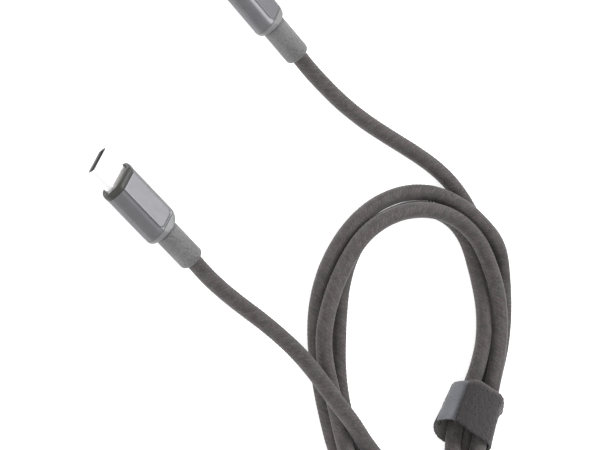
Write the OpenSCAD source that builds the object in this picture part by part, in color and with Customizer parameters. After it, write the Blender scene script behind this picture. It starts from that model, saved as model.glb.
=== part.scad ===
// USB-C charging cable with a coiled braided cord and a hook-and-loop tie. Units: mm.
// X and Y lie on the table, Z is up, and the table is Z = 0.

/* [Plugs] */
// Width of the metal plug shell
shell_w = 8.25; // [8.2:0.01:8.4]
// Thickness of the metal plug shell
shell_t = 2.4; // [2.3:0.01:2.6]
// How far the shell stands out of the housing
shell_out = 6.65; // [6.2:0.05:7]
// Wall of the metal plug shell
shell_wall = 0.2; // [0.15:0.01:0.3]
// Width of the housing across its rounded sides
housing_w = 10.8; // [9.5:0.1:13]
// Thickness of the housing between its flat faces
housing_t = 6; // [5:0.1:8]
// Length of the metal sleeve with its front rim
housing_l = 15; // [12:0.5:22]
// Width of the flat facet on top of the housing
facet_w = 5.6; // [3:0.1:8]
// Length of the shoulder behind the sleeve
shoulder_l = 1.7; // [1:0.1:3]
// Length of the strain relief
relief_l = 10.1; // [6:0.1:16]
// Diameter of the strain relief at the shoulder
relief_d = 6; // [5:0.1:8]

/* [Cord] */
// Diameter of the braided cord
cord_d = 3.8; // [3:0.1:5]

/* [Tie] */
// Width of the hook-and-loop tie along the cord
tie_w = 11; // [8:0.5:20]
// Thickness of the loop tape
tape_t = 0.9; // [0.6:0.05:1.5]
// Thickness of the hook tab
tab_t = 0.6; // [0.4:0.05:1]

/* [Hidden] */
$fn = 64;
e = 0.01;
cord_r = cord_d / 2;
// where each strain relief ends, which way its plug points and how far it is rolled on its side
end_a = [-32.55, -17];
dir_a = 142.5;
roll_a = 13;
end_b = [-2.45, 33];
dir_b = 140.3;
roll_b = 21;
// the height of a rolled plug's axis, with the edge of its lower facet on the table
function axis_z(roll) = housing_t / 2 * cos(roll) + facet_w / 2 * sin(roll) + 0.02;
body_l = housing_l + shoulder_l + relief_l;
rim_l = 0.8;
core_x = -(body_l - 3);
// half widths and heights of the housing's section, from the top facet to the side
hw = housing_w / 2;
hh = housing_t / 2;
quarter = [
  [facet_w / 2, hh],
  [hw - 1.1, hh - 0.6],
  [hw - 0.3, hh - 1.6],
  [hw, hh - 2.6]
];
// the loop that the cord is wound on: its centre and its radius every 20 degrees
loop_c = [34, -39];
loop_r = [24.2, 29.7, 37, 42.6, 44.4, 42.3, 38.8, 35.4, 32.2,
          29.4, 28.8, 31, 35.4, 39.4, 38.6, 31, 24.3, 22.5];
// offset of the innermost strand from the outermost, every 20 degrees
inner_o = [6.8, 7, 7.5, 6.2, 4.6, 4.3, 4, 5.8, 7, 6.2, 5.2, 5.6, 6.6, 7, 7, 6.8, 7.9, 7.2];
// offset of the top strand, every 20 degrees
top_o = [3.2, 4, 5.6, 5.4, 5, 3.6, 2.2, 1.2, -0.4, 0, 0.2, 0, -0.2, 1.4, 3.4, 3.3, 2.2, 2.2];
// how far the tie lifts the cord off the table, every 20 degrees
lift_z = [0.9, 0.3, 0.1, 0.1, 0.1, 0.1, 0.1, 0.1, 0.1, 0.1, 0.1, 0.1, 0.1, 0.1, 0.3, 0.9, 1.3, 1.3];
// the cord's routes from each strain relief to the coil
route_a = [
  [-32.55, -17, 3.57], [-28.5, -20.15, 3.3], [-23.4, -23.3, 2.65], [-17.8, -26.2, 2.15],
  [-12.4, -29.2, 2.7], [-8.2, -32.6, 4.1], [-3.8, -36.9, 6.2], [1.3, -43.6, 8.4],
  [6.9, -50.6, 9.4], [12.5, -55.4, 8.3], [18.6, -59.4, 6], [25, -64, 4.4],
  [30, -68, 4.6], [35, -71.2, 6], [40, -73.4, 7]
];
route_b = [
  [-2.45, 33, 3.82], [1.4, 29.9, 3.5], [5.5, 27.4, 2.8], [9.9, 24.7, 2.15],
  [14.8, 21.9, 2], [20.6, 19.1, 2], [27.8, 16.3, 2], [35, 13.5, 2],
  [41.8, 10.4, 2], [46.7, 7, 2], [50.4, 3, 2], [53.6, -1.6, 2]
];
// the tie's place on the coil, and the direction of the cords there
tie_c = [51.7, -49.8];
tie_dir = -109;
hinge_e = 3.5;
hinge_z = 6.7;

// ---- helpers ----
function unit(v) = v / norm(v);
function spline(a, b, c, d, t) =
  0.5 * (2 * b + (c - a) * t + (2 * a - 5 * b + 4 * c - d) * t * t
         + (3 * b - a - 3 * c + d) * t * t * t);
// a value from a list with one entry every 20 degrees
function around(list, deg) =
  let (n = len(list), i = floor(deg / 20), t = deg / 20 - i, m = i + 10 * n)
  spline(list[(m - 1) % n], list[m % n], list[(m + 1) % n], list[(m + 2) % n], t);
// the outermost strand's place at an angle, and the way inward from it
function loop_at(deg) = loop_c + around(loop_r, deg) * [cos(deg), sin(deg)];
function loop_in(deg) =
  let (t = unit(loop_at(deg + 1) - loop_at(deg - 1))) [-t[1], t[0]];
// a route with extra points put in between its own
function smooth(p, n) = let (k = len(p)) [
  for (i = [0 : k - 2], j = [0 : n - 1])
    let (a = p[max(i - 1, 0)], b = p[i], c = p[i + 1], d = p[min(i + 2, k - 1)])
    spline(a, b, c, d, j / n),
  p[k - 1]
];
function way(p, i) = unit(p[min(i + 1, len(p) - 1)] - p[max(i - 1, 0)]);
// the rings of a tube along a route
function tube_rings(p, r, n) = [
  for (i = [0 : len(p) - 1])
    let (t = way(p, i), s = unit(cross(t, [0, 0, 1])), u = cross(s, t))
    for (j = [0 : n - 1])
      p[i] + r * (cos(360 * j / n) * s + sin(360 * j / n) * u)
];
module tube(p, r, n) {
  k = len(p);
  polyhedron(
    points = tube_rings(p, r, n),
    faces = concat(
      [[for (j = [0 : n - 1]) n - 1 - j]],
      [[for (j = [0 : n - 1]) (k - 1) * n + j]],
      [for (i = [0 : k - 2], j = [0 : n - 1], h = [0, 1])
        let (a = i * n + j, b = i * n + (j + 1) % n, c = b + n, d = a + n)
        h == 0 ? [a, b, c] : [a, c, d]]
    )
  );
}
// plug frames: X towards the tip, 0 at the front of the housing
module at_plug(end, dir, roll)
  translate([end[0] + body_l * cos(dir), end[1] + body_l * sin(dir), axis_z(roll)])
  rotate([roll, 0, dir]) children();
module at_a() at_plug(end_a, dir_a, roll_a) children();
module at_b() at_plug(end_b, dir_b, roll_b) children();
// a section in Y and Z drawn out along X
module along(x0, x1) translate([x0, 0, 0]) rotate([90, 0, 90]) linear_extrude(x1 - x0) children();
module slot2d(w, t) {
  square([w - t, t], center = true);
  for (s = [-1, 1]) translate([s * (w - t) / 2, 0]) circle(d = t);
}
// the housing's faceted section, made smaller by g on every side
function shrunk(q, g) = [q[0] * (hw - g) / hw, q[1] * (hh - g) / hh];
module section2d(g) polygon(concat(
  [for (q = quarter) shrunk(q, g)],
  [for (i = [3 : -1 : 0]) shrunk([quarter[i][0], -quarter[i][1]], g)],
  [for (q = quarter) shrunk([-q[0], -q[1]], g)],
  [for (i = [3 : -1 : 0]) shrunk([-quarter[i][0], quarter[i][1]], g)]
));
module bar(x0, x1, y0, y1, z0, z1) translate([x0, y0, z0]) cube([x1 - x0, y1 - y0, z1 - z0]);

// ---- one plug ----
module shell() color("Silver") difference() {
  along(-3.6, shell_out) slot2d(shell_w, shell_t);
  along(-4, shell_out + 1) slot2d(shell_w - 2 * shell_wall, shell_t - 2 * shell_wall);
}
module insulator() color("#26262a") difference() {
  along(-1.6, shell_out - 0.2) slot2d(shell_w - 2 * shell_wall, shell_t - 2 * shell_wall);
  bar(1, shell_out, -3.35, 3.35, -0.43, 0.43);
  for (s = [0, 180]) rotate([s, 0, 0]) {
    for (i = [0 : 11]) translate([0, (i - 5.5) * 0.5, 0]) bar(-2, 1.1, -0.14, 0.14, 0.3, 0.43);
    bar(-2, 6, 2.75, 3.62, -0.35, 0.35);
  }
}
module contacts() color("Gold") for (i = [0 : 11])
  translate([0, (i - 5.5) * 0.5, 0]) bar(-3.2, 5, -0.13, 0.13, 0.3, 0.42);
module latch() color("LightGray") {
  bar(-3.2, 5.1, 3.1, 3.28, -0.3, 0.3);
  bar(5.1, 5.6, 2.95, 3.28, -0.3, 0.3);
}
module ground_springs() color("LightGray") for (s = [0, 180]) rotate([s, 0, 0]) {
  bar(5.2, 6.1, -2.8, 2.8, 0.33, 0.43);
  for (y = [-2, 0, 2]) bar(5.4, 5.9, y - 0.4, y + 0.4, 0.28, 0.33);
}
module circuit_board() color("DarkGreen") difference() {
  union() {
    bar(-10.6, -3.9, -3.5, 3.5, -0.3, 0.3);
    bar(-4, -1.8, -2.95, 2.95, -0.3, 0.3);
  }
  for (s = [-1, 1]) translate([-7.2, s * 3.5, -1]) cylinder(r = 0.5, h = 2);
}
module chip() color("#202020") bar(-7.2, -4.9, -1.15, 1.15, 0.3, 0.95);
module passives() color("Tan") for (q = [[-6.6, 2.3], [-5.4, 2.3], [-6.6, -2.3], [-5.4, -2.3]])
  translate([q[0], q[1], 0]) bar(-0.4, 0.4, -0.22, 0.22, 0.3, 0.65);
module solder() color("#b8bcc0") {
  for (y = [-1.3, -0.45, 0.45, 1.3]) bar(-10.4, -9, y - 0.35, y + 0.35, 0.3, 0.42);
}
module wires() color("Firebrick") for (y = [-1.3, -0.45, 0.45, 1.3])
  translate([-12.6, y, 0.8]) rotate([0, 90, 0]) cylinder(d = 0.76, h = 3.4);
module shield_half() color("#c8ccd0") difference() {
  bar(-12, -3.7, -3.85, 3.85, 0, 1.9);
  bar(-11.8, -3.9, -3.65, 3.65, -1, 1.7);
  bar(-13, -11, -1.85, 1.85, -1, 1.2);
  bar(-5, -3, -3.5, 3.5, -1, 0.45);
}
module crimp_ring() color("#9a9ea2") difference() {
  along(-16.6, -13.2) circle(d = 4.5);
  along(-17, -13) circle(d = 3.6);
}
module cord_core() color("#3a3638") along(core_x, -12.6) circle(d = 3.6);
module inner_mould() color("#b9b2a4") difference() {
  union() {
    along(-13.1, -rim_l) section2d(0.5);
    along(-rim_l - e, -0.4) section2d(0.85);
  }
  along(-3.6, 1) slot2d(shell_w, shell_t);
  bar(-12, -3.5, -3.85, 3.85, -1.9, 1.9);
  along(-14, -11.9) circle(d = 4.5);
}
module housing() color("#8d8f94") difference() {
  along(-housing_l, -rim_l) section2d(0);
  along(-housing_l - 1, 0) section2d(0.5);
}
module rim() color("#3b3a38") difference() {
  along(-rim_l, 0) section2d(0);
  along(-rim_l - 1, 1) section2d(0.85);
}
module end_cap() color("#9b9da1") difference() {
  union() {
    hull() {
      along(-housing_l - 0.4, -housing_l) section2d(0);
      along(-housing_l - 1.2, -housing_l - 1) section2d(0.45);
      along(-housing_l - shoulder_l, -housing_l - shoulder_l + 0.1) circle(d = relief_d - 0.1);
    }
    along(-housing_l - e, -housing_l + 1.7) section2d(0.5);
  }
  along(-housing_l - 3, 0) circle(d = 4.5);
}
module strain_relief() color("#85868a") translate([-body_l, 0, 0]) rotate([0, 90, 0])
  rotate_extrude() polygon(concat(
    [[cord_r + 0.08, 0]],
    [for (a = [0 : 15 : 90]) [relief_d / 2 - 0.95 * (1 - sin(a)), 0.95 * (1 - cos(a))]],
    [[relief_d / 2, relief_l], [cord_r + 0.08, relief_l]]
  ));

// ---- the cord ----
module lead_a() color("#4d4748") tube(concat(
  [[end_a[0] + 3 * cos(dir_a), end_a[1] + 3 * sin(dir_a), axis_z(roll_a)]], smooth(route_a, 2)),
  cord_r, 8);
module lead_b() color("#4d4748") tube(concat(
  [[end_b[0] + 3 * cos(dir_b), end_b[1] + 3 * sin(dir_b), axis_z(roll_b)]], smooth(route_b, 2)),
  cord_r, 8);
// the coil's section at an angle, as offsets inward and heights
function coil_section(deg) =
  let (w = around(inner_o, deg), t = around(top_o, deg), z = around(lift_z, deg), r = cord_r)
  [
    [-r, r + z], [-1.35, 0.55 + z], [0, z], [w, z], [w + 1.35, 0.55 + z], [w + r, r + z],
    [w + 1.5, 3.1 + z], [t + 1.7, 6.4 + z], [t + 0.8, 7.2 + z], [t - 0.8, 7.2 + z],
    [t - 1.7, 6.4 + z], [-1.5, 3.1 + z]
  ];
module coil() color("#4d4748") {
  k = 36;
  n = 12;
  polyhedron(
    points = [for (i = [0 : k - 1]) let (deg = 360 * i / k, p = loop_at(deg), q = loop_in(deg))
      for (s = coil_section(deg)) [p[0] + s[0] * q[0], p[1] + s[0] * q[1], s[1]]],
    faces = [for (i = [0 : k - 1], j = [0 : n - 1], h = [0, 1])
      let (a = i * n + j, b = i * n + (j + 1) % n,
           c = ((i + 1) % k) * n + (j + 1) % n, d = ((i + 1) % k) * n + j)
      h == 0 ? [a, c, b] : [a, d, c]]
  );
}

// ---- the tie ----
// tie frame: X outward across the cords, Y along them, Z up
module at_tie() translate([tie_c[0], tie_c[1], 0]) rotate([0, 0, tie_dir + 90]) children();
// a tape as thick as t, from stations of [across, up, skew, near edge, far edge]
module tape(line, t) {
  k = len(line);
  rings = [for (i = [0 : k - 1])
    let (a = line[max(i - 1, 0)], b = line[min(i + 1, k - 1)], q = line[i],
         v = unit([b[0] - a[0], b[1] - a[1]]), m = [-v[1], v[0]] * t / 2)
    for (c = [[1, 3], [1, 4], [-1, 4], [-1, 3]])
      [q[0] + c[0] * m[0] + q[2] * q[c[1]] / 5.5, q[c[1]] * tie_w / 11, q[1] + c[0] * m[1]]];
  polyhedron(points = rings, faces = concat(
    [[3, 2, 1, 0], [for (j = [0 : 3]) (k - 1) * 4 + j]],
    [for (i = [0 : k - 2], j = [0 : 3], h = [0, 1])
      let (a = i * 4 + j, b = i * 4 + (j + 1) % 4, c = b + 4, d = a + 4)
      h == 0 ? [a, b, c] : [a, c, d]]));
}
band_line = [
  [-11.5, 4.8, 1.2, -5.6, 5.8], [-10.2, 3.2, 1, -6, 5.4], [-8.6, 1.9, 0.7, -6.4, 5],
  [-6.8, 1, 0.4, -6.7, 4.7], [-4.6, 0.55, 0.2, -6.8, 4.6], [-1, 0.45, 0, -6.5, 5],
  [2.5, 0.5, 0, -6.2, 5.6], [4.7, 1, 0.2, -6, 6], [5.85, 2.3, 0.4, -5.9, 6.3],
  [5.9, 3.6, 0.5, -5.9, 6.6], [5.4, 4.9, 0.4, -5.8, 6.8], [4.7, 5.9, 0.2, -5.7, 7]
];
tab_line = [
  [-12.1, 5.45, 1.2, -5.5, 5.8], [-11.1, 7.1, 1, -4.4, 6.4], [-9.5, 8.1, 0.7, -3.6, 6.8],
  [-7.4, 8.55, 0.4, -3.6, 6.8], [-5, 8.65, 0.2, -4, 6.8]
];
flap_line = [
  [hinge_e, hinge_z, 0, -5.6, 7.2], [2.65, 8.1, 0, -5.4, 7.4], [1.6, 9.05, 0, -5.2, 7.5],
  [-0.3, 9.5, 0, -5, 7.4], [-3.8, 9.75, 0.1, -4.8, 7.2], [-7.2, 9.65, 0.3, -4.1, 7],
  [-10.2, 9, 0.7, -3.3, 6.8]
];
module tie_band() color("#4a4646") at_tie() tape(band_line, tape_t);
module tie_hook_tab() color("#8f9196") at_tie() tape(tab_line, tab_t);
module tie_flap() color("#4a4646") at_tie() tape(flap_line, tape_t);
module tie_stitching() color("#2c2a2b") at_tie() for (y = [-4.5 : 1.5 : 4.5])
  translate([y * 0.18, y, 0]) bar(-9.75, -9.3, -0.3, 0.3, 3.75, 4);

at_a() shell();  // a_shell
at_a() insulator();  // a_insulator
at_a() contacts();  // a_contacts_top
at_a() rotate([180, 0, 0]) contacts();  // a_contacts_bottom
at_a() latch();  // a_latch_left
at_a() rotate([180, 0, 0]) latch();  // a_latch_right
at_a() ground_springs();  // a_ground_springs
at_a() circuit_board();  // a_circuit_board
at_a() chip();  // a_chip
at_a() passives();  // a_passives
at_a() solder();  // a_solder
at_a() shield_half();  // a_shield_top
at_a() rotate([180, 0, 0]) shield_half();  // a_shield_bottom
at_a() wires();  // a_wires
at_a() crimp_ring();  // a_crimp_ring
at_a() cord_core();  // a_cord_core
at_a() inner_mould();  // a_inner_mould
at_a() housing();  // a_housing
at_a() rim();  // a_rim
at_a() end_cap();  // a_end_cap
at_a() strain_relief();  // a_strain_relief
at_b() shell();  // b_shell
at_b() insulator();  // b_insulator
at_b() contacts();  // b_contacts_top
at_b() rotate([180, 0, 0]) contacts();  // b_contacts_bottom
at_b() latch();  // b_latch_left
at_b() rotate([180, 0, 0]) latch();  // b_latch_right
at_b() ground_springs();  // b_ground_springs
at_b() circuit_board();  // b_circuit_board
at_b() chip();  // b_chip
at_b() passives();  // b_passives
at_b() solder();  // b_solder
at_b() shield_half();  // b_shield_top
at_b() rotate([180, 0, 0]) shield_half();  // b_shield_bottom
at_b() wires();  // b_wires
at_b() crimp_ring();  // b_crimp_ring
at_b() cord_core();  // b_cord_core
at_b() inner_mould();  // b_inner_mould
at_b() housing();  // b_housing
at_b() rim();  // b_rim
at_b() end_cap();  // b_end_cap
at_b() strain_relief();  // b_strain_relief
lead_a();  // cord_lead_a
coil();  // cord_coil
lead_b();  // cord_lead_b
tie_band();
tie_hook_tab();
tie_flap();
tie_stitching();
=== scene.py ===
"""The looks of a USB-C charging cable: two plugs, a coiled braided cord and a hook-and-loop tie."""
import math

import bmesh
import bpy
import numpy as np
from mathutils import Matrix, Vector


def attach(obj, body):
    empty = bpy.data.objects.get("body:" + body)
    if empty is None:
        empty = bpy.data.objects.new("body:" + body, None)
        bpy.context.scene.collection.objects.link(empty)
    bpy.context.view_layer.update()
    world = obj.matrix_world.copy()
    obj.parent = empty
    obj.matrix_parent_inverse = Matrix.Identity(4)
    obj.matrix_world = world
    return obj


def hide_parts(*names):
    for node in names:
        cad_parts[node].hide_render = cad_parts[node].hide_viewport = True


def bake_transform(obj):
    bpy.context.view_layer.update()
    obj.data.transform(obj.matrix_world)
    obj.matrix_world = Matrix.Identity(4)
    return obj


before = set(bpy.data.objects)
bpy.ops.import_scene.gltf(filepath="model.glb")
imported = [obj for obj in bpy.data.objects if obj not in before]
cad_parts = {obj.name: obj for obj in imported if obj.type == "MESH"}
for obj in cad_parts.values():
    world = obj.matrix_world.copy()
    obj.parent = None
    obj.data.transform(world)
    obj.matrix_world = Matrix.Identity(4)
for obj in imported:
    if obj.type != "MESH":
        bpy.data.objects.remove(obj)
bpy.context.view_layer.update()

MM = 0.001
scene = bpy.context.scene

# ---- the camera ----
RIGHT = Vector((0.7853, 0, 0.6191))
UP = Vector((-0.0787, 0.9919, 0.0999))
BACK = Vector((-0.6141, -0.1272, 0.7789))
TARGET = Vector((0.001, -0.006, 0))
CAMERA_DISTANCE = 0.8

camera_data = bpy.data.cameras.new("camera")
camera_data.lens = 206.4
camera_data.sensor_width = 36
camera_data.clip_start = 0.01
camera = bpy.data.objects.new("camera", camera_data)
turn = Matrix((RIGHT, UP, BACK)).transposed().to_4x4()
camera.matrix_world = Matrix.Translation(TARGET + CAMERA_DISTANCE * BACK) @ turn
scene.collection.objects.link(camera)
scene.camera = camera
scene.view_settings.view_transform = "Standard"

# ---- the cord's route, in millimetres ----
CORD_D = 3.8
FLOOR_Z = 1.98
# the coil's middle, its outermost strand's distance from there every 20 degrees, and how much
# higher the whole bundle lies at the same angles
LOOP_C = np.array([34, -39])
LOOP_R = [
    24.2, 29.7, 37, 42.6, 44.4, 42.3, 38.8, 35.4, 32.2, 29.4, 28.8, 31, 35.4, 39.4, 38.6, 31,
    24.3, 22.5,
]
LIFT_Z = [
    0.9, 0.3, 0.1, 0.1, 0.1, 0.1, 0.1, 0.1, 0.1, 0.1, 0.1, 0.1, 0.1, 0.1, 0.3, 0.9, 1.3, 1.3,
]
# where each strain relief ends, which way its plug points and how far it is rolled on its side
END_A, DIR_A, ROLL_A = (-32.55, -17), math.radians(142.5), math.radians(13)
END_B, DIR_B, ROLL_B = (-2.45, 33), math.radians(140.3), math.radians(21)
# from each strain relief to the coil
ROUTE_A = [
    (-32.55, -17, 3.57), (-28.5, -20.15, 3.3), (-23.4, -23.3, 2.65), (-17.8, -26.2, 2.15),
    (-12.4, -29.2, 2.7), (-8.2, -32.6, 4.1), (-3.8, -36.9, 6.2), (1.3, -43.6, 8.4),
    (6.9, -50.6, 9.4), (12.5, -55.4, 8.3), (18.6, -59.4, 6), (25, -64, 5), (30, -67.8, 5.9),
    (34.5, -70.4, 7.1), (37.6, -71.3, 8.1), (40.6, -71, 8.7), (43.3, -69.5, 8.6),
    (45.2, -67.2, 8), (46.5, -64.4, 7.4),
]
ROUTE_B = [
    (-2.45, 33, 3.82), (1.4, 29.9, 3.5), (5.5, 27.4, 2.8), (9.9, 24.7, 2.15), (14.8, 21.9, 2),
    (20.6, 19.1, 2), (27.8, 16.3, 2), (35, 13.5, 2), (41.8, 10.4, 2), (46.7, 7, 2), (50.4, 3, 2),
    (53.6, -1.6, 2),
]
# each turn of the coil as (angle, offset inward from the outermost strand, height)
TURNS = [
    (56, 2.3, 1.9), (48, 3.9, 1.9), (38, 4.4, 1.9), (22, 4, 1.9), (0, 3.9, 1.9), (-20, 3.9, 1.9),
    (-40, 3.9, 1.9), (-60, 4.3, 1.9), (-70, 5.2, 1.9), (-80, 5.9, 1.9), (-90, 6.4, 1.9),
    (-100, 6.8, 1.9), (-120, 6.8, 1.9), (-140, 5.6, 1.9), (-160, 5.1, 1.9), (-170, 5.4, 1.9),
    (-177, 5.8, 1.9), (-185, 6.3, 1.9), (-192, 7.0, 1.9), (-206, 6.9, 1.9), (-216, 6.0, 1.9),
    (-224, 5.2, 1.9), (-232, 4.3, 1.9), (-238, 3.8, 1.9), (-250, 3.85, 1.9), (-270, 3.85, 1.9),
    (-285, 4.0, 1.9), (-294, 4.7, 1.9), (-302, 5.9, 1.9), (-310, 6.9, 2.0), (-318, 7.4, 2.2),
    (-325, 7.6, 2.6), (-335, 7.3, 3.2), (-345, 7.1, 3.7), (-360, 6.5, 3.6), (-368, 6.5, 3.5),
    (-376, 6.8, 3.0), (-384, 7.3, 2.3), (-392, 7.8, 1.9), (-402, 8.1, 1.9), (-410, 8, 2.9),
    (-419, 7.2, 4.7), (-431, 5.5, 5.65), (-445, 3.3, 4.6), (-460, 1.2, 2.6), (-475, 0, 1.9),
    (-500, 0, 1.9), (-520, 0, 1.9), (-540, 0, 1.9), (-560, 0, 1.9), (-580, 0, 1.9),
    (-600, 0, 1.9), (-615, 0, 1.9), (-630, 0, 1.9), (-638, 0.4, 3.2), (-646, 1.5, 5.2),
    (-654, 2.0, 5.65), (-662, 1.9, 5.2), (-669, 1.3, 3.8), (-676, 0.7, 2.5), (-684, 0.3, 1.9),
    (-705, 0, 1.9), (-720, 0, 1.9), (-740, 0, 1.9), (-760, 0, 1.9), (-775, 0, 1.9),
    (-790, -0.6, 2.6), (-805, -1.2, 4.2), (-813, -1.2, 5.2), (-820, -0.9, 5.8), (-835, -0.8, 5.6),
    (-860, -0.2, 5.6), (-880, 0.2, 5.6), (-896, -0.5, 5.6), (-912, -0.8, 5.6), (-930, 1.2, 5.6),
    (-947, 2.2, 5.6), (-958, 2.1, 5.6), (-966, 2.8, 5.6), (-974, 3.4, 5.6), (-988, 4.5, 5.6),
    (-998, 5.2, 5.6), (-1007, 5.2, 5.6), (-1020, 5.6, 5.6), (-1032, 6.3, 5.65), (-1043, 5.3, 5.2),
    (-1053, 4.7, 5.2), (-1068, 3.6, 5.6), (-1080, 3.1, 5.5), (-1090, 2.5, 5.4), (-1100, 2.1, 5.3),
    (-1115, 2, 5.3), (-1125, 2.6, 5.5), (-1135, 3.6, 5.9),
]
SINK = 3          # how far the cord goes on inside each strain relief


def around(values, deg):
    """A value from a list with one entry every 20 degrees."""
    n = len(values)
    i = math.floor(deg / 20)
    f = deg / 20 - i
    a, b, c, d = (values[(i + k) % n] for k in (-1, 0, 1, 2))
    return 0.5 * (2 * b + (c - a) * f + (2 * a - 5 * b + 4 * c - d) * f * f
                  + (3 * b - a - 3 * c + d) * f ** 3)


def loop_at(deg):
    a = math.radians(deg)
    return LOOP_C + around(LOOP_R, deg) * np.array([math.cos(a), math.sin(a)])


def loop_in(deg):
    t = loop_at(deg + 1) - loop_at(deg - 1)
    t /= np.linalg.norm(t)
    return np.array([-t[1], t[0]])


def lengths(line):
    return np.concatenate([[0], np.cumsum(np.linalg.norm(np.diff(line, axis=0), axis=1))])


def spaced(line, step):
    """The line with its points evened out."""
    s = lengths(line)
    at = np.linspace(0, s[-1], max(2, int(round(s[-1] / step)) + 1))
    return np.stack([np.interp(at, s, line[:, k]) for k in range(line.shape[1])], 1)


def smooth_line(p, n=16):
    """A centripetal Catmull-Rom line through the points."""
    out = []
    for i in range(len(p) - 1):
        p0 = p[i - 1] if i else 2 * p[0] - p[1]
        p1, p2 = p[i], p[i + 1]
        p3 = p[i + 2] if i + 2 < len(p) else 2 * p[-1] - p[-2]
        t0 = 0
        t1 = t0 + np.linalg.norm(p1 - p0) ** 0.5
        t2 = t1 + np.linalg.norm(p2 - p1) ** 0.5
        t3 = t2 + np.linalg.norm(p3 - p2) ** 0.5
        for t in np.linspace(t1, t2, n, endpoint=False):
            a1 = (t1 - t) / (t1 - t0) * p0 + (t - t0) / (t1 - t0) * p1
            a2 = (t2 - t) / (t2 - t1) * p1 + (t - t1) / (t2 - t1) * p2
            a3 = (t3 - t) / (t3 - t2) * p2 + (t - t2) / (t3 - t2) * p3
            b1 = (t2 - t) / (t2 - t0) * a1 + (t - t0) / (t2 - t0) * a2
            b2 = (t3 - t) / (t3 - t1) * a2 + (t - t1) / (t3 - t1) * a3
            out.append((t2 - t) / (t2 - t1) * b1 + (t - t1) / (t2 - t1) * b2)
    out.append(p[-1])
    return np.array(out)


def evened(line, ends):
    """The line with each point drawn half-way to its neighbours; the ends stay."""
    new = line.copy()
    new[1:-1] = 0.25 * line[:-2] + 0.5 * line[1:-1] + 0.25 * line[2:]
    new[:ends], new[-ends:] = line[:ends], line[-ends:]
    return new


def settle(line, gap=3.86, rounds=80, hold=8, skip=12):
    """Pushes turns that are nearer than gap apart, and keeps everything on the table."""
    idx = np.arange(len(line))
    far = np.abs(idx[:, None] - idx[None, :]) > skip
    home = line.copy()
    for _ in range(rounds):
        diff = line[:, None] - line[None]
        dist = np.linalg.norm(diff, axis=2)
        near = far & (dist < gap)
        push = np.where(near[..., None], diff / np.maximum(dist, 1e-6)[..., None]
                        * ((gap - dist) / 2)[..., None], 0)
        new = line + 0.9 * push.sum(1) / np.maximum(near.sum(1), 1)[:, None]
        new += 0.03 * (home - new)
        line = new.copy()
        line[1:-1] = 0.25 * new[:-2] + 0.5 * new[1:-1] + 0.25 * new[2:]
        line[:, 2] = np.maximum(line[:, 2], FLOOR_Z)
        line[:hold], line[-hold:] = home[:hold], home[-hold:]
    return line


def cord_route():
    """The cord's centreline from plug A's strain relief to plug B's, 1 mm apart."""
    points = [list(p) for p in ROUTE_B]
    for deg, inward, height in TURNS:
        p = loop_at(deg) + inward * loop_in(deg)
        points.append([p[0], p[1], height + around(LIFT_Z, deg) - 0.1])
    points += [list(p) for p in ROUTE_A[::-1]]
    line = spaced(smooth_line(np.array(points, float)), 1)
    for _ in range(6):
        line = evened(line, 3)
    line = settle(line)[::-1]
    first, last = line[0].copy(), line[-1].copy()
    first[:2] += SINK * np.array([math.cos(DIR_A), math.sin(DIR_A)])
    last[:2] += SINK * np.array([math.cos(DIR_B), math.sin(DIR_B)])
    return np.concatenate([[first], line, [last]])


# ---- helpers for meshes ----
def mesh_piece(name, verts, faces, smooth=True, scale=MM):
    mesh = bpy.data.meshes.new(name)
    mesh.from_pydata((np.asarray(verts) * scale).tolist(), [], faces)
    bm = bmesh.new()
    bm.from_mesh(mesh)
    bmesh.ops.recalc_face_normals(bm, faces=bm.faces)
    bm.to_mesh(mesh)
    bm.free()
    mesh.polygons.foreach_set("use_smooth", [smooth] * len(mesh.polygons))
    mesh.update()
    piece = bpy.data.objects.new(name, mesh)
    scene.collection.objects.link(piece)
    return piece


def skin(loops, closed=True):
    """Vertices and faces over loops of one size. A closed skin joins its last loop to its first,
    and an open one gets a cap at each end."""
    k, n = len(loops), len(loops[0])
    faces = []
    for i in range(k if closed else k - 1):
        a, b = i * n, (i + 1) % k * n
        faces += [(a + j, a + (j + 1) % n, b + (j + 1) % n, b + j) for j in range(n)]
    if not closed:
        faces += [tuple(range(n - 1, -1, -1)), tuple(range((k - 1) * n, k * n))]
    return np.concatenate(loops), faces


def joined(parts):
    """Several (vertices, faces) as one."""
    verts, faces, start = [], [], 0
    for v, f in parts:
        verts.append(v)
        faces += [tuple(i + start for i in g) for g in f]
        start += len(v)
    return np.concatenate(verts), faces


def soft_noise(u, v, seed, period=None):
    """Smooth value noise from -1 to 1 over a plane, the same on each run."""
    table = np.random.RandomState(seed).uniform(-1, 1, (64, 64))
    iu, iv = np.floor(u).astype(int), np.floor(v).astype(int)
    fu, fv = u - iu, v - iv
    fu, fv = fu * fu * (3 - 2 * fu), fv * fv * (3 - 2 * fv)
    a, b = table[iu % 64, iv % 64], table[(iu + 1) % 64, iv % 64]
    c, d = table[iu % 64, (iv + 1) % 64], table[(iu + 1) % 64, (iv + 1) % 64]
    return (a * (1 - fu) + b * fu) * (1 - fv) + (c * (1 - fu) + d * fu) * fv


# ---- the braided cord ----
STRANDS = 12      # strands each way round
AROUND = 36       # vertices round the cord, three to a strand
LAY = 12.0        # length in which a strand goes once round


def braid_height(u, v):
    """How high the braid stands, from 0 to 1, where u and v count its strands each way."""
    def crest(x):
        return np.sin(np.pi * (x - np.floor(x))) ** 0.7
    over_u = crest(u) * 0.75 + 0.25 * np.cos(np.pi / 2 * (np.floor(u) + v - 1))
    over_v = crest(v) * 0.75 + 0.25 * np.cos(np.pi / 2 * (u + np.floor(v) - 3))
    return np.clip(np.maximum(over_u, over_v), 0, 1)


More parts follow.
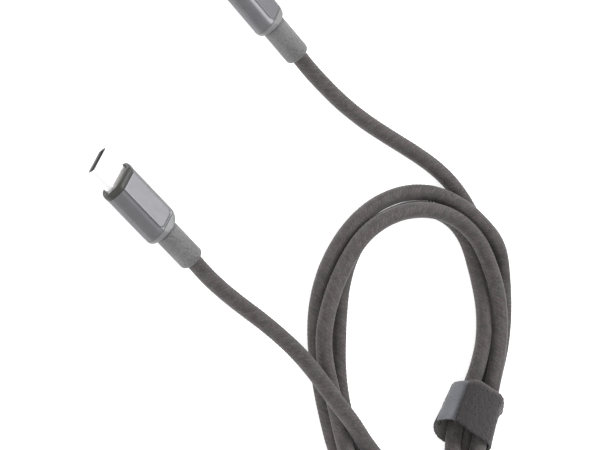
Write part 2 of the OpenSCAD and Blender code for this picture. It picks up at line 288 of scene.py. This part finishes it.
def braided_cord(name, route):
    path = spaced(route, LAY / AROUND)
    for _ in range(20):
        path = evened(path, 3)
    tangent = np.gradient(path, axis=0)
    tangent /= np.linalg.norm(tangent, axis=1)[:, None]
    side = np.cross(tangent[0], [0, 0, 1])
    sides = []
    for t in tangent:
        side = side - t * (side @ t)
        side /= np.linalg.norm(side)
        sides.append(side)
    sides = np.array(sides)
    ups = np.cross(sides, tangent)
    i = np.arange(len(path))[:, None]
    j = np.arange(AROUND)[None]
    u = (j - i) * STRANDS / AROUND + 1 / 6
    v = (j + i) * STRANDS / AROUND + 1 / 6
    height = braid_height(u, v)
    loose = soft_noise(u * 0.5, v * 0.5, 11)
    radius = CORD_D / 2 - 0.12 + 0.17 * height + 0.02 * loose
    angle = 2 * np.pi * j / AROUND
    rings = path[:, None] + radius[..., None] * (
        np.cos(angle)[..., None] * sides[:, None] + np.sin(angle)[..., None] * ups[:, None])
    verts, faces = skin(list(rings), closed=False)
    piece = mesh_piece(name, verts, faces)
    # the braid's height, kept for painted shade in its valleys
    weave_shade = piece.data.attributes.new("weave_shade", "FLOAT", "POINT")
    weave_shade.data.foreach_set("value", height.ravel().astype(np.float32))
    strand = piece.data.attributes.new("strand", "FLOAT", "POINT")
    tone = np.where(height > 0, soft_noise(np.floor(u) * 1.7, np.floor(v) * 0.9, 5), 0)
    strand.data.foreach_set("value", (0.5 + 0.5 * tone).ravel().astype(np.float32))
    return piece, path


route = cord_route()
cord, cord_path = braided_cord("braided_cord", route)
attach(cord, "cable")
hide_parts("cord_lead_a", "cord_coil", "cord_lead_b")


# ---- materials ----
def grey(value, blue=0.0):
    return (value, value * (1 + 0.3 * blue), value * (1 + blue), 1)


class Nodes:
    """A material whose shader's sockets are set or linked by name."""

    def __init__(self, name, **sockets):
        self.material = bpy.data.materials.new(name)
        self.material.use_nodes = True
        self.tree = self.material.node_tree
        self.shader = self.tree.nodes["Principled BSDF"]
        for key, value in sockets.items():
            self.shader.inputs[key.replace("_", " ")].default_value = value

    def node(self, kind, **settings):
        made = self.tree.nodes.new(kind)
        for key, value in settings.items():
            if key in made.inputs:
                made.inputs[key].default_value = value
            else:
                setattr(made, key, value)
        return made

    def link(self, a, b):
        self.tree.links.new(a, b)

    def place(self, uv=False, stretch=(1, 1, 1)):
        """Coordinates in millimetres on the piece, or its own lengthwise map."""
        where = self.node("ShaderNodeTexCoord")
        scale = self.node("ShaderNodeMapping", vector_type="POINT")
        k = 1 if uv else 1 / MM
        scale.inputs["Scale"].default_value = [k * s for s in stretch]
        self.link(where.outputs["UV" if uv else "Object"], scale.inputs["Vector"])
        return scale.outputs["Vector"]

    def noise(self, at, scale, detail=3.0, rough=0.55):
        made = self.node("ShaderNodeTexNoise", Scale=scale, Detail=detail, Roughness=rough)
        self.link(at, made.inputs["Vector"])
        return made.outputs["Fac"]

    def ramp(self, fac, *stops):
        made = self.node("ShaderNodeValToRGB")
        elements = made.color_ramp.elements
        while len(elements) < len(stops):
            elements.new(0.5)
        for element, (at, colour) in zip(elements, stops):
            element.position = at
            element.color = colour
        self.link(fac, made.inputs["Fac"])
        return made.outputs["Color"]

    def span(self, fac, low, high, start=0.3, stop=0.7):
        made = self.node("ShaderNodeMapRange")
        ends = {"From Min": start, "From Max": stop, "To Min": low, "To Max": high}
        for key, value in ends.items():
            made.inputs[key].default_value = value
        self.link(fac, made.inputs["Value"])
        return made.outputs["Result"]

    def math(self, operation, a, b):
        made = self.node("ShaderNodeMath", operation=operation)
        for socket, value in zip(made.inputs, (a, b)):
            if isinstance(value, (int, float)):
                socket.default_value = value
            else:
                self.link(value, socket)
        return made.outputs["Value"]

    def mix(self, fac, a, b, blend="MIX"):
        made = self.node("ShaderNodeMix", data_type="RGBA", blend_type=blend)
        for socket, value in ((made.inputs[0], fac), (made.inputs[6], a), (made.inputs[7], b)):
            if hasattr(value, "is_output"):
                self.link(value, socket)
            else:
                socket.default_value = value
        return made.outputs[2]

    def colour(self, value):
        self.link(value, self.shader.inputs["Base Color"])

    def rough(self, value):
        self.link(value, self.shader.inputs["Roughness"])

    def bump(self, height, distance, strength=1.0):
        made = self.node("ShaderNodeBump", Strength=strength, Distance=distance * MM)
        self.link(height, made.inputs["Height"])
        self.link(made.outputs["Normal"], self.shader.inputs["Normal"])


def speckled(name, dark, light, scale, rough, depth, stretch=(1, 1, 1), uv=False, **sockets):
    """A finish whose colour, gloss and surface vary with one fine noise and one broad one."""
    m = Nodes(name, **sockets)
    at = m.place(uv, stretch)
    fine, broad = m.noise(at, scale), m.noise(at, scale * 0.08, 2)
    both = m.math("ADD", m.math("MULTIPLY", fine, 0.65), m.math("MULTIPLY", broad, 0.35))
    m.colour(m.ramp(both, (0.36, dark), (0.64, light)))
    m.rough(m.span(fine, *rough))
    m.bump(fine, depth)
    return m.material


def braid_material():
    m = Nodes("braid", Sheen_Weight=0.25, Sheen_Roughness=0.45, Specular_IOR_Level=0.25)
    m.shader.inputs["Sheen Tint"].default_value = (0.9, 0.86, 0.9, 1)
    weave_shade = m.node("ShaderNodeAttribute", attribute_name="weave_shade").outputs["Fac"]
    strand = m.node("ShaderNodeAttribute", attribute_name="strand").outputs["Fac"]
    at = m.place()
    yarn, tint = m.noise(at, 4.5, 3), m.noise(at, 0.9, 3)
    # painted shade: the colour runs from dark in the braid's valleys to lighter on its crests
    base = m.ramp(weave_shade, (0.05, (0.018, 0.016, 0.016, 1)), (0.55, (0.055, 0.048, 0.048, 1)),
                  (1.0, (0.094, 0.083, 0.084, 1)))
    cool = m.mix(m.span(tint, 0.5, 0, 0.38, 0.52), base, (0.058, 0.062, 0.054, 1))
    warm = m.mix(m.span(tint, 0, 0.55, 0.48, 0.66), cool, (0.072, 0.053, 0.058, 1))
    tone = m.span(strand, 0.82, 1.18, 0.2, 0.8)
    lit = m.math("MULTIPLY", tone, m.span(yarn, 0.8, 1.2))
    m.colour(m.mix(1.0, warm, lit, "MULTIPLY"))
    m.rough(m.span(yarn, 0.62, 0.8))
    m.bump(yarn, 0.05)
    return m.material


def loop_material():
    """Dark napped tape: short fibres over a woven ground, paler along its far edge."""
    m = Nodes("loop_tape", Sheen_Weight=0.25, Sheen_Roughness=0.5, Specular_IOR_Level=0.2)
    at = m.place(uv=True)
    nap, clump = m.noise(at, 2.6, 6, 0.7), m.noise(at, 0.7, 3)
    base = m.ramp(nap, (0.33, (0.012, 0.01, 0.011, 1)), (0.55, (0.038, 0.033, 0.034, 1)),
                  (0.75, (0.105, 0.092, 0.097, 1)))
    pale_edge = m.node("ShaderNodeAttribute", attribute_name="pale_edge").outputs["Fac"]
    # a paler colour mixed in along the tape's far edge
    pale = m.mix(m.math("MULTIPLY", pale_edge, m.span(nap, 0.1, 0.9)), base, (0.2, 0.17, 0.175, 1))
    nap_tone = m.mix(m.span(clump, 0.0, 0.5), pale, (0.03, 0.026, 0.027, 1))
    back = m.node("ShaderNodeAttribute", attribute_name="back").outputs["Fac"]
    inner = m.ramp(nap, (0.35, (0.09, 0.088, 0.078, 1)), (0.65, (0.14, 0.136, 0.122, 1)))
    m.colour(m.mix(back, nap_tone, inner))
    m.rough(m.span(nap, 0.75, 0.95))
    m.bump(nap, 0.22)
    return m.material


def sleeve_material():
    """Bead-blasted grey metal, with painted shade down in each groove."""
    m = Nodes("grey_aluminium", Metallic=0.6)
    at = m.place()
    fine, broad = m.noise(at, 9), m.noise(at, 0.5, 2)
    base = m.ramp(m.math("ADD", m.math("MULTIPLY", fine, 0.6), m.math("MULTIPLY", broad, 0.4)),
                  (0.36, (0.138, 0.138, 0.148, 1)), (0.64, (0.165, 0.165, 0.176, 1)))
    groove = m.node("ShaderNodeAttribute", attribute_name="groove").outputs["Fac"]
    # painted shade: a dark grey is mixed into the colour down in each groove
    m.colour(m.mix(m.span(groove, 0, 0.4, 0.1, 1.0), base, (0.055, 0.054, 0.056, 1)))
    m.rough(m.span(fine, 0.38, 0.46))
    m.bump(fine, 0.008)
    return m.material


def hook_material():
    """Satin nylon with fine ribs along its length."""
    m = Nodes("hook_tape", Specular_IOR_Level=0.45, Sheen_Weight=0.15)
    at = m.place(uv=True)
    grain = m.noise(m.place(uv=True, stretch=(0.3, 3, 1)), 2.2, 4)
    broad = m.noise(at, 0.25, 2)
    base = m.ramp(grain, (0.35, (0.105, 0.107, 0.118, 1)), (0.65, (0.155, 0.158, 0.175, 1)))
    m.colour(m.mix(m.span(broad, 0, 0.5), base, (0.175, 0.178, 0.197, 1)))
    m.rough(m.span(grain, 0.42, 0.55))
    m.bump(grain, 0.04)
    return m.material


FINISHES = {
    "plug_steel": speckled("plug_steel", grey(0.95), grey(0.99), 1.5, (0.2, 0.28), 0.003,
                           Metallic=0.5),
    "black_plastic": speckled("black_plastic", grey(0.085), grey(0.105), 3, (0.5, 0.65), 0.01,
                              Specular_IOR_Level=0.2),
    "gold_contacts": speckled("gold_contacts", (0.72, 0.5, 0.18, 1), (0.86, 0.66, 0.28, 1), 3,
                              (0.18, 0.3), 0.004, Metallic=1.0),
    "spring_steel": speckled("spring_steel", grey(0.5), grey(0.62), 3, (0.25, 0.35), 0.004,
                             Metallic=1.0),
    "board_green": speckled("board_green", (0.01, 0.07, 0.025, 1), (0.02, 0.12, 0.045, 1), 1.2,
                            (0.3, 0.45), 0.01),
    "passive_ceramic": speckled("passive_ceramic", (0.35, 0.25, 0.15, 1), (0.5, 0.38, 0.25, 1), 4,
                                (0.45, 0.6), 0.01),
    "solder": speckled("solder", grey(0.55), grey(0.7), 3, (0.2, 0.4), 0.02, Metallic=1.0),
    "wire_red": speckled("wire_red", (0.3, 0.012, 0.01, 1), (0.42, 0.02, 0.016, 1), 1.2,
                         (0.3, 0.42), 0.006),
    "cord_core": speckled("cord_core", grey(0.02), grey(0.035), 1.2, (0.45, 0.6), 0.01),
    "beige_plastic": speckled("beige_plastic", (0.21, 0.20, 0.175, 1), (0.27, 0.26, 0.225, 1), 2.0,
                              (0.5, 0.65), 0.01),
    "grey_aluminium": sleeve_material(),
    "cap_aluminium": speckled("cap_aluminium", (0.175, 0.176, 0.18, 1), (0.205, 0.206, 0.21, 1), 9,
                              (0.42, 0.5), 0.008, Metallic=0.3),
    "dark_rim": speckled("dark_rim", (0.03, 0.03, 0.026, 1), (0.043, 0.043, 0.038, 1), 5,
                         (0.42, 0.52), 0.01, Specular_IOR_Level=0.4),
    "grey_elastomer": speckled("grey_elastomer", (0.095, 0.095, 0.096, 1), (0.16, 0.16, 0.161, 1),
                               2.1, (0.3, 0.6), 0.3, Specular_IOR_Level=0.5),
    "thread": speckled("thread", grey(0.015), grey(0.03), 6, (0.7, 0.85), 0.03),
    "braid": braid_material(),
    "loop_tape": loop_material(),
    "hook_tape": hook_material(),
}


def finish(piece, slot, material=None):
    piece.data.materials.clear()
    piece.data.materials.append(FINISHES[material or slot])
    return piece


finish(cord, "braid")

NODE_SLOTS = {
    "insulator": "black_plastic",
    "contacts_top": "gold_contacts", "contacts_bottom": "gold_contacts",
    "latch_left": "spring_steel", "latch_right": "spring_steel", "ground_springs": "spring_steel",
    "circuit_board": "board_green", "chip": "black_plastic", "passives": "passive_ceramic",
    "solder": "solder", "shield_top": "spring_steel", "shield_bottom": "spring_steel",
    "wires": "wire_red", "crimp_ring": "spring_steel", "cord_core": "cord_core",
}
for plug_name in ("a", "b"):
    for part, slot_name in NODE_SLOTS.items():
        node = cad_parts[plug_name + "_" + part]
        node.data.materials.clear()
        node.data.materials.append(FINISHES[slot_name])

# ---- the plugs, in a frame with X towards the tip and 0 at the front of the housing ----
BODY_L, SLEEVE_L, SHOULDER_L = 26.8, 15.0, 1.7
HALF_W, HALF_T, FACET = 5.4, 3.0, 2.8
RELIEF_R, RIM_L, RIM_OUT = 3.0, 1.2, 0.35
SHELL_W, SHELL_T = 8.25, 2.4


def axis_height(roll):
    """The height of a rolled plug's axis, with the edge of its lower facet on the table."""
    return HALF_T * math.cos(roll) + FACET * math.sin(roll) + 0.02


def plug_frame(end, heading, roll):
    """Gives a function from a plug's own frame to the object's, in millimetres."""
    c, s = math.cos(heading), math.sin(heading)
    cr, sr = math.cos(roll), math.sin(roll)
    def to_row(p):
        p = np.asarray(p, float)
        y, z = p[..., 1] * cr - p[..., 2] * sr, p[..., 1] * sr + p[..., 2] * cr
        return np.stack([end[0] + BODY_L * c + p[..., 0] * c - y * s,
                         end[1] + BODY_L * s + p[..., 0] * s + y * c,
                         axis_height(roll) + z], -1)
    return to_row


def side_arc(n):
    """One rounded side from the top facet's edge to the bottom facet's."""
    knots = [(2.1, 3.6), (FACET, 3.0), (3.95, 2.34), (4.88, 1.45), (5.4, 0.45), (5.4, -0.45),
             (4.88, -1.45), (3.95, -2.34), (FACET, -3.0), (2.1, -3.6)]
    p = np.array(knots, float)
    out = []
    for i in range(1, len(p) - 2):
        a, b, c, d = p[i - 1:i + 3]
        for t in np.linspace(0, 1, n, endpoint=False):
            out.append(0.5 * (2 * b + (c - a) * t + (2 * a - 5 * b + 4 * c - d) * t * t
                              + (3 * b - a - 3 * c + d) * t ** 3))
    out.append(p[-2])
    return np.array(out)


def section(flat, n=7):
    """The sleeve's section as (across, up), over a flat facet's points from -FACET to FACET."""
    arc = side_arc(n)[1:-1]
    top = np.stack([flat, np.full(len(flat), HALF_T)], 1)
    return np.concatenate([top, arc, -top, -arc])


FINE_FLAT = np.concatenate([[-FACET], np.arange(-2.74, -1.6, 0.06), np.linspace(-1.5, 1.5, 7),
                            np.arange(1.63, 2.78, 0.06), [FACET]])
PLAIN = section(np.linspace(-FACET, FACET, 13))
FINE = section(FINE_FLAT, 16)


def shrunk(points, g):
    """A section drawn in by g on every side."""
    return points * [(HALF_W - g) / HALF_W, (HALF_T - g) / HALF_T]


def at_x(x, points):
    return np.concatenate([np.full((len(points), 1), x), points], 1)


def slot_section(w, t, n):
    """A slot's outline as n points, from the same angle as a housing section's."""
    r, half = t / 2, (w - t) / 2
    whole = 4 * half + 2 * math.pi * r
    out = []
    for k in range(n):
        s = (k / n) * whole
        if s < 2 * half:
            out.append((-half + s, r))
        elif s < 2 * half + math.pi * r:
            a = (s - 2 * half) / r
            out.append((half + r * math.sin(a), r * math.cos(a)))
        elif s < 4 * half + math.pi * r:
            out.append((half - (s - 2 * half - math.pi * r), -r))
        else:
            a = (s - 4 * half - math.pi * r) / r
            out.append((-half - r * math.sin(a), -r * math.cos(a)))
    return np.array(out)


def circle_section(r, n):
    """A circle of n points, from the top and clockwise."""
    a = math.pi / 2 - 2 * math.pi * np.arange(n) / n
    return np.stack([r * np.cos(a), r * np.sin(a)], 1)


def matched(outline, r):
    """A circle with its points where the outline's points lie round it."""
    a = np.arctan2(outline[:, 1] / HALF_T, outline[:, 0] / HALF_W)
    return np.stack([r * np.cos(a), r * np.sin(a)], 1)


PANEL_REAR, PANEL_CORNER = -14.45, 1.3


def sleeve():
    """The metal sleeve: a fine groove sets off each flat facet, and another runs along each side.
    Also gives how much painted shade each vertex gets in a groove, from 0 to 1."""
    xs = np.concatenate([[-SLEEVE_L + 0.02, -SLEEVE_L + 0.1], np.arange(-14.84, -12.75, 0.07),
                         np.linspace(-12.6, -RIM_L - 0.4, 20), [-RIM_L - 0.2, -RIM_L - 0.04]])
    loops, groove_shades = [], []
    for x in xs:
        edge = max(0.0, 0.1 - min(x + SLEEVE_L, -RIM_L - x)) * 0.8
        p = shrunk(FINE, edge)
        y, z = p[:, 0], p[:, 1]
        past_edge = np.hypot(np.abs(y) - FACET, HALF_T - np.abs(z))
        across = np.where(np.abs(y) > FACET, FACET + past_edge, np.abs(y))
        # distance from the facet's outline, negative inside it
        qx = across - (FACET - PANEL_CORNER)
        qy = (PANEL_REAR + PANEL_CORNER) - x
        corner = np.hypot(np.maximum(qx, 0), max(qy, 0)) - PANEL_CORNER
        corner = corner + np.minimum(np.maximum(qx, qy), 0)
        at_facet = np.exp(-((corner - 0.2) / 0.2) ** 2)
        ramp = np.exp(-((corner - 0.2) / np.where(corner > 0.2, 0.8, 0.2)) ** 2)
        at_side = np.exp(-(np.hypot(np.abs(y) - HALF_W, z) / 0.2) ** 2)
        normal = np.stack([y / HALF_W ** 2, z / HALF_T ** 2], 1)
        normal /= np.linalg.norm(normal, axis=1)[:, None]
        loops.append(at_x(x, p - normal * (0.09 * ramp + 0.05 * at_side)[:, None]))
        # painted shade, strongest down in the grooves round the facets and along the sides
        groove_shades.append(np.clip(at_facet + 0.7 * at_side, 0, 1))
    inner = shrunk(FINE, 0.42)
    verts, faces = skin(loops + [at_x(-RIM_L - 0.04, inner), at_x(-SLEEVE_L + 0.02, inner)])
    return verts, faces, np.concatenate(groove_shades + [np.zeros(2 * len(inner))])


def rim():
    """The dark rounded ring that stands a little in front of the sleeve."""
    profile = [(-RIM_L, 0.04), (-RIM_L + 0.08, -0.04), (-0.6, -0.07), (-0.25, -0.05),
               (0.05, 0.04), (0.25, 0.18), (RIM_OUT, 0.38), (0.33, 0.62),
               (0.21, 0.82), (0.01, 0.96), (-0.25, 1.01), (-RIM_L, 1.01)]
    soft = PLAIN
    for _ in range(4):
        soft = 0.25 * np.roll(soft, 1, 0) + 0.5 * soft + 0.25 * np.roll(soft, -1, 0)
    return skin([at_x(x, shrunk(PLAIN if x == -RIM_L else soft, g)) for x, g in profile])


def front_face():
    """The recessed face round the metal shell, dished a little and turned in at the shell."""
    n = len(PLAIN)
    outer = shrunk(PLAIN, 1.05)
    inner = slot_section(SHELL_W + 0.04, SHELL_T + 0.04, n)
    front = RIM_OUT - 0.36
    edge = shrunk(PLAIN, 1.12)
    loops = [at_x(-3.0, outer), at_x(front - 0.06, outer), at_x(front, edge)]
    for t in (0.15, 0.35, 0.6, 0.85, 0.97):
        dish = 0.22 * math.sin(math.pi * t) ** 0.8
        loops.append(at_x(front - dish, (1 - t) * edge + t * inner))
    loops += [at_x(front - 0.06, inner), at_x(-3.0, inner)]
    return skin(loops)


def steel_shell():
    """The plug's metal tube with a rounded lip."""
    n = 96
    profile = [(-3.5, 0), (-1, 0), (1.5, 0), (4.5, 0), (6.3, 0), (6.5, 0.015), (6.6, 0.05),
               (6.65, 0.1), (6.62, 0.16), (6.5, 0.2), (4.5, 0.2), (1.5, 0.2), (-3.5, 0.2)]
    return skin([at_x(x, slot_section(SHELL_W - 2 * g, SHELL_T - 2 * g, n)) for x, g in profile])


def end_cap():
    """The rounded shoulder that closes the sleeve and runs into the strain relief."""
    n = len(PLAIN)
    back = -SLEEVE_L - SHOULDER_L
    round_end = matched(PLAIN, RELIEF_R - 0.04)
    loops = [at_x(-SLEEVE_L + 1.5, shrunk(PLAIN, 0.52)), at_x(-SLEEVE_L, shrunk(PLAIN, 0.52)),
             at_x(-SLEEVE_L - 0.01, shrunk(PLAIN, 0.1)),
             at_x(-SLEEVE_L - 0.05, shrunk(PLAIN, 0.03))]
    for t in np.linspace(0.08, 1, 12):
        x = -SLEEVE_L - SHOULDER_L * math.sin(t * math.pi / 2) ** 1.15
        w = 1 - math.cos(t * math.pi / 2) ** 0.9
        loops.append(at_x(x, (1 - w) * shrunk(PLAIN, 0.03) + w * round_end))
    hole = matched(PLAIN, 2.27)
    return skin(loops + [at_x(back, hole), at_x(-SLEEVE_L + 1.5, hole)])


def strain_relief():
    """A sleeve of soft plastic with a rounded end and a hole for the cord."""
    n, start = 56, -SLEEVE_L - SHOULDER_L + 0.02
    profile = [(start, 2.98), (-17.6, 3.0), (-20, 3.0), (-22.5, 3.0), (-24.6, 3.0)]
    for a in range(0, 91, 10):
        s = math.radians(a)
        profile.append((-BODY_L + 0.95 - 0.95 * math.sin(s), RELIEF_R - 0.9 + 0.9 * math.cos(s)))
    profile += [(-BODY_L + 0.06, 1.99), (-BODY_L + 0.5, 1.98), (start, 1.98)]
    return skin([at_x(x, circle_section(r, n)) for x, r in profile])


PLUG_PIECES = {
    "metal_shell": (steel_shell, "plug_steel", "shell", None),
    "front_face": (front_face, "beige_plastic", "inner_mould", None),
    "sleeve": (sleeve, "grey_aluminium", "housing", None),
    "front_rim": (rim, "dark_rim", "rim", None),
    "shoulder": (end_cap, "grey_aluminium", "end_cap", "cap_aluminium"),
    "relief": (strain_relief, "grey_elastomer", "strain_relief", None),
}
plug_pieces = {}
for plug_name, end, heading, roll in (("a", END_A, DIR_A, ROLL_A), ("b", END_B, DIR_B, ROLL_B)):
    to_row = plug_frame(end, heading, roll)
    plug_pieces[plug_name] = []
    for piece_name, (build, slot_name, cad_part, look) in PLUG_PIECES.items():
        verts, faces, *groove_shades = build()
        piece = mesh_piece(plug_name + "_" + piece_name, to_row(verts), faces)
        # the sleeve's painted shade in its grooves, kept as a point attribute
        if groove_shades:
            depth = piece.data.attributes.new("groove", "FLOAT", "POINT")
            depth.data.foreach_set("value", groove_shades[0].astype(np.float32))
        finish(piece, slot_name, look)
        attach(piece, "cable")
        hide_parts(plug_name + "_" + cad_part)
        plug_pieces[plug_name].append(piece)

# ---- the tie, in a frame with X outward across the cords, Y along them and Z up ----
TIE_C, TIE_TURN = (51.7, -49.8), math.radians(-19)
TAPE_T, TAB_T = 0.75, 0.6
FUZZ, FINE_FUZZ, RIB_PITCH = 0.55, 0.27, 0.62
# stations as (across, up, skew, near edge, far edge, how far the far corner stands out)
BAND = [
    (-11.5, 4.8, 1.2, -5.4, 5.8, 0), (-10.2, 3.2, 1, -6, 5.4, 0), (-8.6, 1.9, 0.7, -6.5, 5, 0),
    (-6.8, 1, 0.4, -7, 4.7, 0), (-4.6, 0.6, 0.2, -7, 4.6, 0), (-1, 0.5, 0, -6.6, 5, 0),
    (2.5, 0.55, 0, -6.3, 5.4, 0), (4.5, 1.1, 0.1, -6.1, 5.4, 0), (5.4, 2.3, 0.2, -6, 5.1, 0.4),
    (5.27, 3.6, 0.3, -6, 4.7, 0.9), (4.6, 4.9, 0.2, -6, 4.6, 0.9), (3.95, 5.9, 0.1, -6, 4.9, 0.8),
]
FLAP = [
    (3.2, 7, 0, -6, 5.4, 0.7), (2.35, 8.05, 0, -5.9, 6.1, 0.4), (1.3, 8.9, 0, -5.7, 6.8, 0.2),
    (-0.4, 9.4, 0, -5.5, 7.1, 0), (-3.8, 9.7, 0.1, -5.3, 7.2, 0), (-7.2, 9.6, 0.3, -4.7, 7.5, 0),
    (-10.2, 9, 0.7, -3.9, 6.8, 0),
]
TAB = [
    (-12.1, 5.45, 1.1, -4.9, 5.8, 0), (-11.1, 7.1, 1, -4.2, 6.4, 0), (-9.5, 8.1, 0.7, -3.7, 6.8, 0),
    (-7.4, 8.55, 0.4, -3.6, 6.8, 0), (-5, 8.65, 0.2, -4, 6.8, 0),
]


def tie_row(p):
    """The tie's own frame to the object's, in millimetres."""
    c, s = math.cos(TIE_TURN), math.sin(TIE_TURN)
    return np.stack([TIE_C[0] + p[..., 0] * c - p[..., 1] * s,
                     TIE_C[1] + p[..., 0] * s + p[..., 1] * c, p[..., 2]], -1)


def tape_piece(name, stations, thick, step, columns, nap, rib=0.0, seed=1):
    """A tape through the stations, with rounded edges and ends, and fibres or ribs on its faces."""
    line = spaced(smooth_line(np.array(stations, float)), step)
    s = lengths(line[:, :2])
    way = np.gradient(line[:, :2], axis=0)
    way /= np.linalg.norm(way, axis=1)[:, None]
    normal = np.stack([-way[:, 1], way[:, 0]], 1)
    # the tape's section: its top from the near edge to the far one, and back underneath
    half = thick / 2
    edge = [(-math.cos(a), math.sin(a)) for a in np.linspace(0, math.pi / 2, 5)[:-1]]
    loops, uvs, pale_edges, backs = [], [], [], []
    for k in range(len(line)):
        across, up, skew, near, far, flare = line[k]
        from_end = min(s[k], s[-1] - s[k])
        taper = math.sqrt(max(0.0, 1 - (1 - from_end / half) ** 2)) if from_end < half else 1.0
        taper = max(taper, 0.25)
        flat = np.linspace(near + half, far - half, columns)
        y = np.concatenate([[near + half + half * c for c, _ in edge], flat,
                            [far - half - half * c for c, _ in edge[::-1]],
                            [far - half - half * c for c, _ in edge[1:]], flat[::-1],
                            [near + half + half * c for c, _ in edge[:0:-1]]])
        h = np.concatenate([[q for _, q in edge], np.ones(columns), [q for _, q in edge[::-1]],
                            [-q for _, q in edge[1:]], -np.ones(columns),
                            [-q for _, q in edge[:0:-1]]])
        side = np.where(h >= 0, 0, 37.0)
        fuzz = (soft_noise(np.full(len(y), s[k] / FUZZ), y / FUZZ + side, seed)
                + 0.6 * soft_noise(np.full(len(y), s[k] / FINE_FUZZ), y / FINE_FUZZ + side,
                                   seed + 1))
        wave = np.cos(2 * math.pi * y / RIB_PITCH)
        rough = np.sign(h) * (nap * fuzz + rib * wave) * np.minimum(np.abs(h) * 2, 1)
        push = h * (half * taper - nap) + rough
        y = y + nap * 1.2 * fuzz * (np.abs(h) < 0.9) * np.where(y < (near + far) / 2, -1, 1)
        # a slight crown across the tape
        mid, wide = (near + far) / 2, (far - near) / 2
        stands_out = flare * np.clip((y - 1.5) / (far - 1.5), 0, 1.1) ** 2
        crown = -0.12 * ((y - mid) / wide) ** 4 - stands_out
        loops.append(np.stack([across + (push + crown) * normal[k, 0] + skew * y / 5.5, y,
                               up + (push + crown) * normal[k, 1]], 1))
        uvs.append(np.stack([np.full(len(y), s[k]), y + side], 1))
        # how pale each point is along the far edge, and how much it belongs to the tape's inner
        # face
        pale_edges.append(np.clip((y - far + 1.3) / 1.2, 0, 1) * (h < 0.5))
        backs.append(np.clip(h, 0, 1))
    verts, faces = skin(loops, closed=False)
    piece = mesh_piece(name, tie_row(verts), faces)
    uv = np.concatenate(uvs)
    layer = piece.data.uv_layers.new(name="along")
    index = np.zeros(len(piece.data.loops), int)
    piece.data.loops.foreach_get("vertex_index", index)
    layer.data.foreach_set("uv", uv[index].ravel().astype(np.float32))
    for key, values in (("pale_edge", pale_edges), ("back", backs)):
        layer = piece.data.attributes.new(key, "FLOAT", "POINT")
        layer.data.foreach_set("value", np.concatenate(values).astype(np.float32))
    return piece


loop_tape = tape_piece("loop_tape", BAND + FLAP, TAPE_T, 0.22, 52, 0.07, seed=3)
finish(loop_tape, "loop_tape")
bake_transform(loop_tape)
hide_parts("tie_band", "tie_flap")

hook_tab = tape_piece("hook_tab", TAB, TAB_T, 0.3, 60, 0.0, rib=0.02, seed=8)
finish(hook_tab, "hook_tape")
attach(hook_tab, "tie")
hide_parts("tie_hook_tab")


def stitches():
    """A row of short arcs of thread on the inner face of the tape's left fold."""
    parts = []
    for y in np.arange(-4.5, 4.6, 1.5):
        a = np.linspace(0, math.pi, 9)
        along = y - 0.42 * np.cos(a)
        centre = np.stack([along * 0.18 - 9.9 + 0.42 * np.sin(a), along, 3.6 + 0.3 * np.sin(a)], 1)
        way = np.gradient(centre, axis=0)
        way /= np.linalg.norm(way, axis=1)[:, None]
        lean = np.array([0.58, 0, -0.81])
        up = np.cross(way, lean)
        up /= np.linalg.norm(up, axis=1)[:, None]
        b = np.linspace(0, 2 * math.pi, 10, endpoint=False)
        loops = [c + 0.12 * (np.cos(b)[:, None] * np.cross(u, w) + np.sin(b)[:, None] * u)
                 for c, u, w in zip(centre, up, way)]
        parts.append(skin(loops, closed=False))
    return joined(parts)


verts, faces = stitches()
thread = mesh_piece("tie_thread", tie_row(verts), faces)
finish(thread, "thread")
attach(thread, "tie")
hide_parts("tie_stitching")

# ---- the floor and the light ----
floor_verts = [(-2, -2, 0), (2, -2, 0), (2, 2, 0), (-2, 2, 0)]
floor = mesh_piece("floor", floor_verts, [(0, 1, 2, 3)], smooth=False, scale=1)
floor_look = Nodes("floor", Roughness=0.9, Specular_IOR_Level=0.0, Emission_Strength=0.7)
floor_look.shader.inputs["Emission Color"].default_value = (1, 1, 1, 1)
floor_look.colour(floor_look.ramp(floor_look.noise(floor_look.place(), 0.002, 2),
                                  (0.3, grey(0.9)), (0.7, grey(0.92))))
floor.data.materials.append(floor_look.material)

world = bpy.data.worlds.new("studio")
world.use_nodes = True
world.node_tree.nodes["Background"].inputs["Color"].default_value = (1, 1, 1, 1)
world.node_tree.nodes["Background"].inputs["Strength"].default_value = 0.75
scene.world = world


def soft_light(name, place, aim, size, power):
    data = bpy.data.lights.new(name, "AREA")
    data.shape = "DISK"
    data.size = size
    data.energy = power
    light = bpy.data.objects.new(name, data)
    light.location = place
    light.rotation_euler = (Vector(aim) - Vector(place)).to_track_quat("-Z", "Y").to_euler()
    scene.collection.objects.link(light)


MIDDLE = (0.002, -0.012, 0)
soft_light("key", (0.44, 0.34, 0.7), MIDDLE, 0.5, 6.2)
soft_light("fill", (-0.6, -0.2, 0.5), MIDDLE, 0.6, 1.5)
